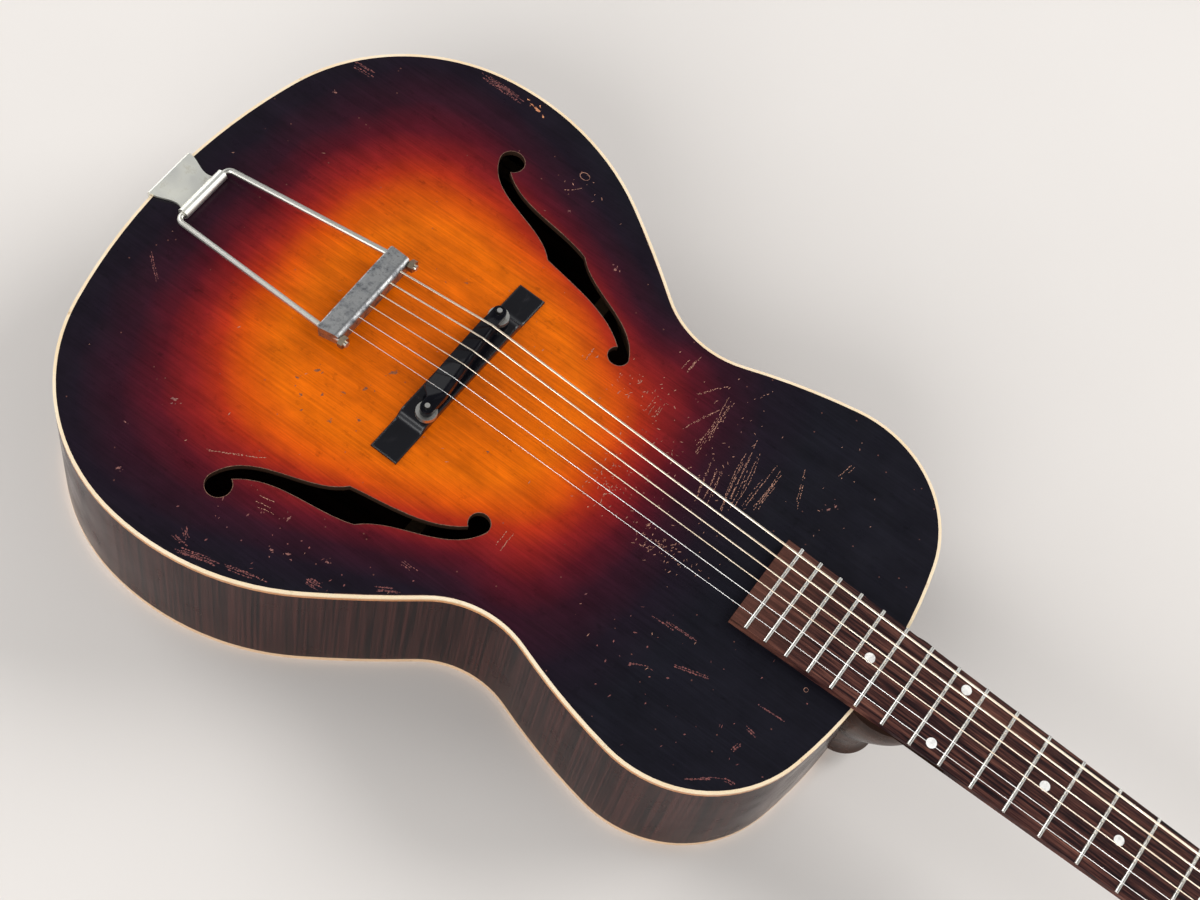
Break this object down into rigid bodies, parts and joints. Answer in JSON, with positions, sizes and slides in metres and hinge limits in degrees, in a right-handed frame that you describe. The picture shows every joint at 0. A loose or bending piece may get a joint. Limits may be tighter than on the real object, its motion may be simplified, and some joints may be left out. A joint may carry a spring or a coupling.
{
  "type": "archtop guitar",
  "caption": "Archtop guitar with a hollow waisted body, f-shaped sound holes, a trapeze tailpiece, a height-adjustable bridge and open-geared tuners.",
  "frame": {"origin": "on the plane of the flat back, on the centreline, under the saddle end of the string scale", "axes": "+X along the strings towards the head, +Y to the bass side, +Z out of the top"},
  "size_m": [1.0111, 0.363, 0.1194],
  "materials": {
    "top_spruce": "gloss sunburst lacquer",
    "body_maple": "gloss dark lacquer",
    "cream_binding": "aged gloss",
    "inner_wood": "bare",
    "black_plastic": "gloss",
    "neck_wood": "gloss dark lacquer",
    "black_facing": "gloss",
    "rosewood": "oiled",
    "nickel_silver": "polished",
    "pearl": "polished",
    "bone": "satin",
    "nickel_plate": "worn nickel",
    "brass": "satin",
    "ebonised_wood": "gloss lacquer",
    "wound_bronze": "fine wound",
    "string_steel": "bright"
  },
  "bodies": {
    "guitar": {"top_plate": "top_spruce", "back_plate": "body_maple", "bass_side": "body_maple", "treble_side": "body_maple", "top_binding": "cream_binding", "back_binding": "cream_binding", "neck_block": "inner_wood", "tail_block": "inner_wood", "linings": "inner_wood", "tone_bars": "inner_wood", "back_braces": "inner_wood", "end_pin": "black_plastic", "neck": "neck_wood", "head_veneer": "black_facing", "fingerboard": "rosewood", "frets": "nickel_silver", "position_dots": "pearl", "nut": "bone", "tail_bracket": "nickel_plate", "bracket_screws": "nickel_plate", "bridge_base": "ebonised_wood", "bridge_posts": "nickel_plate", "tuner_bushings": "nickel_plate", "tuner_screws": "nickel_plate", "bass_tuner_plate": "nickel_plate", "treble_tuner_plate": "nickel_plate", "string_6": "wound_bronze", "string_5": "wound_bronze", "string_4": "wound_bronze", "string_3": "wound_bronze", "string_2": "string_steel", "string_1": "string_steel"},
    "saddle": {"bridge_saddle": "ebonised_wood"},
    "bass_wheel": {"bass_thumbwheel": "nickel_plate"},
    "treble_wheel": {"treble_thumbwheel": "nickel_plate"},
    "tailpiece": {"tail_yoke": "nickel_plate", "tail_bar": "nickel_plate", "tail_nuts": "nickel_plate", "string_ball_ends": "brass"},
    "post_6": {"tuner_post_6": "nickel_plate", "tuner_gear_6": "brass"},
    "worm_6": {"tuner_shaft_6": "nickel_plate"},
    "post_5": {"tuner_post_5": "nickel_plate", "tuner_gear_5": "brass"},
    "worm_5": {"tuner_shaft_5": "nickel_plate"},
    "post_4": {"tuner_post_4": "nickel_plate", "tuner_gear_4": "brass"},
    "worm_4": {"tuner_shaft_4": "nickel_plate"},
    "post_3": {"tuner_post_3": "nickel_plate", "tuner_gear_3": "brass"},
    "worm_3": {"tuner_shaft_3": "nickel_plate"},
    "post_2": {"tuner_post_2": "nickel_plate", "tuner_gear_2": "brass"},
    "worm_2": {"tuner_shaft_2": "nickel_plate"},
    "post_1": {"tuner_post_1": "nickel_plate", "tuner_gear_1": "brass"},
    "worm_1": {"tuner_shaft_1": "nickel_plate"}
  },
  "joints": [
    {"name": "saddle_lift", "type": "slide", "parent": "guitar", "child": "saddle", "axis": [0, 0, 1], "range_m": [-0.002, 0.004], "deforming": ["string_6", "string_5", "string_4", "string_3", "string_2", "string_1"]},
    {"name": "bass_wheel_turn", "type": "hinge", "parent": "saddle", "child": "bass_wheel", "pos_m": [-0.0004, 0.036, 0.1086], "axis": [0, 0, 1], "range_deg": [-900, 1800]},
    {"name": "treble_wheel_turn", "type": "hinge", "parent": "saddle", "child": "treble_wheel", "pos_m": [0.0041, -0.036, 0.1086], "axis": [0, 0, 1], "range_deg": [-900, 1800]},
    {"name": "tailpiece_swing", "type": "hinge", "parent": "guitar", "child": "tailpiece", "pos_m": [-0.179, 0, 0.0968], "axis": [0, -1, 0], "range_deg": [-0.7, 1.3], "deforming": ["string_6", "string_5", "string_4", "string_3", "string_2", "string_1"]},
    {"name": "worm_6_turn", "type": "hinge", "parent": "guitar", "child": "worm_6", "pos_m": [0.67893, 0.0235, 0.0405], "axis": [0, 1, 0], "continuous": true, "deforming": ["string_6"]},
    {"name": "post_6_turn", "type": "hinge", "parent": "guitar", "child": "post_6", "pos_m": [0.67609, 0.0235, 0.0613], "axis": [0.2773, 0, 0.9608], "continuous": true, "deforming": ["string_6"]},
    {"name": "worm_5_turn", "type": "hinge", "parent": "guitar", "child": "worm_5", "pos_m": [0.71256, 0.0235, 0.03079], "axis": [0, 1, 0], "continuous": true, "deforming": ["string_5"]},
    {"name": "post_5_turn", "type": "hinge", "parent": "guitar", "child": "post_5", "pos_m": [0.70971, 0.0235, 0.0516], "axis": [0.2773, 0, 0.9608], "continuous": true, "deforming": ["string_5"]},
    {"name": "worm_4_turn", "type": "hinge", "parent": "guitar", "child": "worm_4", "pos_m": [0.74618, 0.0235, 0.02109], "axis": [0, 1, 0], "continuous": true, "deforming": ["string_4"]},
    {"name": "post_4_turn", "type": "hinge", "parent": "guitar", "child": "post_4", "pos_m": [0.74334, 0.0235, 0.04189], "axis": [0.2773, 0, 0.9608], "continuous": true, "deforming": ["string_4"]},
    {"name": "worm_3_turn", "type": "hinge", "parent": "guitar", "child": "worm_3", "pos_m": [0.74618, -0.0235, 0.02109], "axis": [0, 1, 0], "continuous": true, "deforming": ["string_3"]},
    {"name": "post_3_turn", "type": "hinge", "parent": "guitar", "child": "post_3", "pos_m": [0.74334, -0.0235, 0.04189], "axis": [0.2773, 0, 0.9608], "continuous": true, "deforming": ["string_3"]},
    {"name": "worm_2_turn", "type": "hinge", "parent": "guitar", "child": "worm_2", "pos_m": [0.71256, -0.0235, 0.03079], "axis": [0, 1, 0], "continuous": true, "deforming": ["string_2"]},
    {"name": "post_2_turn", "type": "hinge", "parent": "guitar", "child": "post_2", "pos_m": [0.70971, -0.0235, 0.0516], "axis": [0.2773, 0, 0.9608], "continuous": true, "deforming": ["string_2"]},
    {"name": "worm_1_turn", "type": "hinge", "parent": "guitar", "child": "worm_1", "pos_m": [0.67893, -0.0235, 0.0405], "axis": [0, 1, 0], "continuous": true, "deforming": ["string_1"]},
    {"name": "post_1_turn", "type": "hinge", "parent": "guitar", "child": "post_1", "pos_m": [0.67609, -0.0235, 0.0613], "axis": [0.2773, 0, 0.9608], "continuous": true, "deforming": ["string_1"]}
  ],
  "couplings": [
    {"joint": "bass_wheel_turn", "follows": "saddle_lift", "rad_per_m": 7854},
    {"joint": "treble_wheel_turn", "follows": "saddle_lift", "rad_per_m": 7854},
    {"joint": "tailpiece_swing", "follows": "saddle_lift", "rad_per_m": 5.3731},
    {"joint": "post_6_turn", "follows": "worm_6_turn", "ratio": -0.071429},
    {"joint": "post_5_turn", "follows": "worm_5_turn", "ratio": -0.071429},
    {"joint": "post_4_turn", "follows": "worm_4_turn", "ratio": -0.071429},
    {"joint": "post_3_turn", "follows": "worm_3_turn", "ratio": 0.071429},
    {"joint": "post_2_turn", "follows": "worm_2_turn", "ratio": 0.071429},
    {"joint": "post_1_turn", "follows": "worm_1_turn", "ratio": 0.071429}
  ]
}
